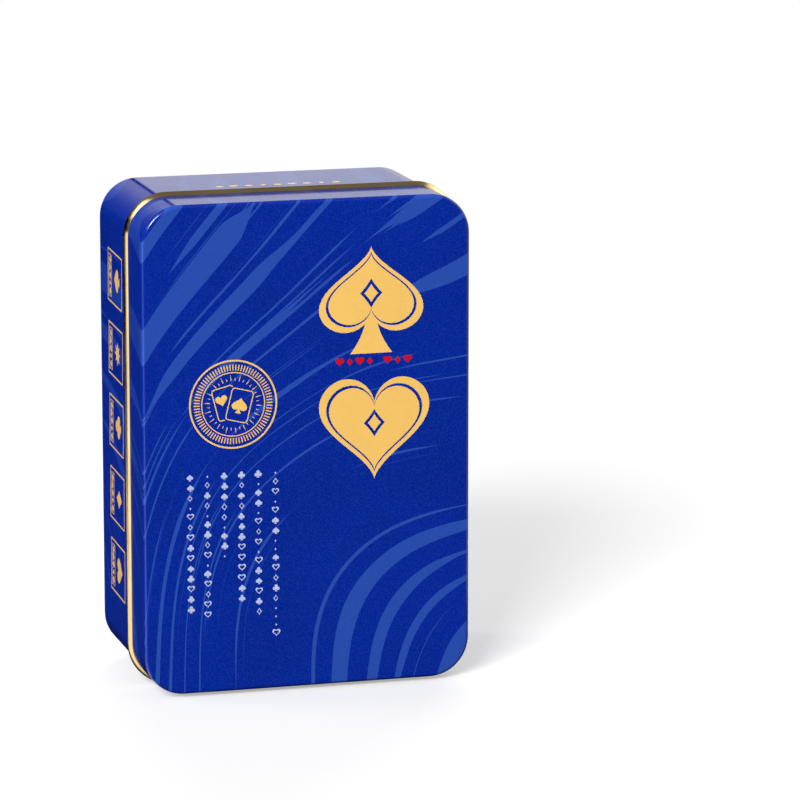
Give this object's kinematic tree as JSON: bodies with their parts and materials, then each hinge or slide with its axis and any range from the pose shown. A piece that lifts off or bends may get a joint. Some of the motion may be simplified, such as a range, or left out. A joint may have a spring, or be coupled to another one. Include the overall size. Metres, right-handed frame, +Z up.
{
  "type": "card game tin",
  "caption": "Rectangular card game tin with rounded corners, a hinged lid with a rolled gold edge, a score board on its back and magnetic pawns.",
  "frame": {"origin": "middle of the bottom of the whole part's box, with the tin standing on one short end", "axes": "+Z up along the tin's long side, -Y out of the lid face, +Y out of the board on the back, +X towards the hinge side"},
  "size_m": [0.0682, 0.0558, 0.0997],
  "materials": {
    "lid_tinplate": "royal blue lithographed tinplate under gloss varnish",
    "wall_tinplate": "royal blue lithographed tinplate under gloss varnish",
    "board_tinplate": "royal blue lithographed tinplate under gloss varnish",
    "gold_lacquer": "gold lacquered tinplate, glossy",
    "hinge_steel": "drawn steel wire, bright",
    "hinge_tinplate": "gold lacquered tinplate, glossy",
    "gold_print": "gold coloured ink under varnish",
    "red_print": "red ink under varnish",
    "white_print": "white ink under varnish",
    "card_stock": "linen-finished card",
    "leaflet_paper": "thin uncoated paper",
    "red_plastic": "moulded plastic, glossy",
    "blue_plastic": "moulded plastic, glossy",
    "magnet_nickel": "nickel plated"
  },
  "bodies": {
    "tin": {"body_wall": "wall_tinplate", "board_plate": "board_tinplate", "hinge_strap_lower": "hinge_tinplate", "hinge_strap_upper": "hinge_tinplate", "deck_rear": "card_stock", "deck_front": "card_stock", "rules_leaflet": "leaflet_paper"},
    "lid": {"lid_shell": "lid_tinplate", "hinge_wire": "hinge_steel"},
    "red_pawn": {"red_pawn_body": "red_plastic", "red_pawn_magnet": "magnet_nickel"},
    "blue_pawn": {"blue_pawn_body": "blue_plastic", "blue_pawn_magnet": "magnet_nickel"}
  },
  "joints": [
    {"name": "lid_hinge", "type": "hinge", "parent": "tin", "child": "lid", "pos_m": [0.03355, -0.0153, 0.04985], "axis": [0, 0, 1], "range_deg": [0, 180]},
    {"name": "red_pawn_lift", "type": "slide", "parent": "tin", "child": "red_pawn", "axis": [0, 1, 0], "range_m": [0, 0.03]},
    {"name": "blue_pawn_lift", "type": "slide", "parent": "tin", "child": "blue_pawn", "axis": [0, 1, 0], "range_m": [0, 0.03]}
  ]
}
